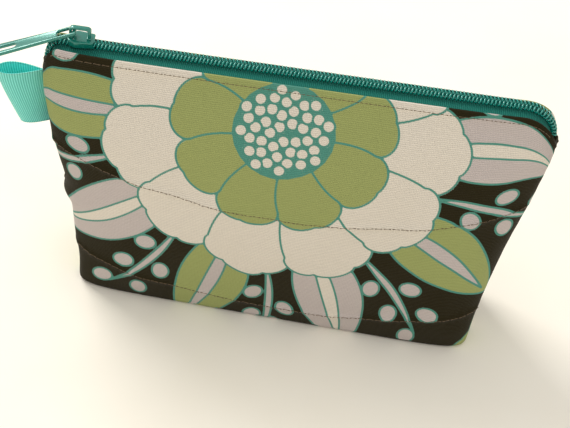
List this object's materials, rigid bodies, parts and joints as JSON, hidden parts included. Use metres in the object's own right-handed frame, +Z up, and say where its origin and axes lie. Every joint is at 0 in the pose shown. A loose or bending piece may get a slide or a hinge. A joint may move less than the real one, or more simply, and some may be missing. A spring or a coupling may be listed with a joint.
{
  "type": "zippered pouch",
  "caption": "Quilted fabric pouch with a boxed flat bottom, a nylon coil zipper with an enamelled pull, and a ribbon loop.",
  "frame": {"origin": "middle of the bounding box, at the height of the flat base", "axes": "+X along the zipper from the closed slider's end to the other end, +Y to the back, +Z up; the pouch stands on z = 0"},
  "size_m": [0.2344, 0.054, 0.1238],
  "materials": {
    "printed_cotton": "matt woven cotton with a large floral print in cream, leaf green, dark olive, grey and teal outline",
    "fleece": "soft white quilting fleece",
    "lining": "plain cream cotton",
    "zipper_tape": "teal woven polyester tape",
    "zipper_coil": "teal nylon coil, satin gloss",
    "enamel": "glossy teal enamel on die-cast zinc",
    "ribbon": "turquoise grosgrain ribbon with cross ribs",
    "thread_brown": "brown polyester sewing thread",
    "thread_pale": "cream polyester sewing thread"
  },
  "bodies": {
    "pouch": {"outer_back": "printed_cotton", "fleece_back": "fleece", "lining_back": "lining", "zip_tape_back": "zipper_tape", "coil_back": "zipper_coil", "zip_end_left": "zipper_tape", "zip_end_right": "zipper_tape", "topstitch_back": "thread_brown", "quilt_upper_back": "thread_brown", "quilt_lower_back": "thread_brown", "seam_thread_left": "thread_pale", "seam_thread_right": "thread_pale", "seam_thread_bottom": "thread_pale"},
    "front": {"outer_front": "printed_cotton", "fleece_front": "fleece", "lining_front": "lining", "zip_tape_front": "zipper_tape", "coil_front": "zipper_coil", "topstitch_front": "thread_brown", "quilt_upper_front": "thread_brown", "quilt_lower_front": "thread_brown"},
    "slider": {"slider_body": "enamel", "slider_crown": "enamel"},
    "pull": {"pull_tab": "enamel"},
    "loop": {"ribbon_loop": "ribbon"}
  },
  "joints": [
    {"name": "mouth_open", "type": "hinge", "parent": "pouch", "child": "front", "pos_m": [0.0127, -0.022, 0], "axis": [1, 0, 0], "range_deg": [0, 11], "stiffness_Nm_per_rad": 0.03},
    {"name": "slider_slide", "type": "slide", "parent": "pouch", "child": "slider", "axis": [1, 0, 0], "range_m": [0, 0.172]},
    {"name": "pull_flip", "type": "hinge", "parent": "slider", "child": "pull", "pos_m": [-0.08025, 0, 0.12165], "axis": [0, 1, 0], "range_deg": [0, 202]},
    {"name": "loop_swing", "type": "hinge", "parent": "pouch", "child": "loop", "pos_m": [-0.09238, 0, 0.0873], "axis": [0, 0, 1], "range_deg": [-60, 45], "stiffness_Nm_per_rad": 0.002}
  ],
  "couplings": [
    {"joint": "pull_flip", "follows": "slider_slide", "rad_per_m": 20.497}
  ]
}
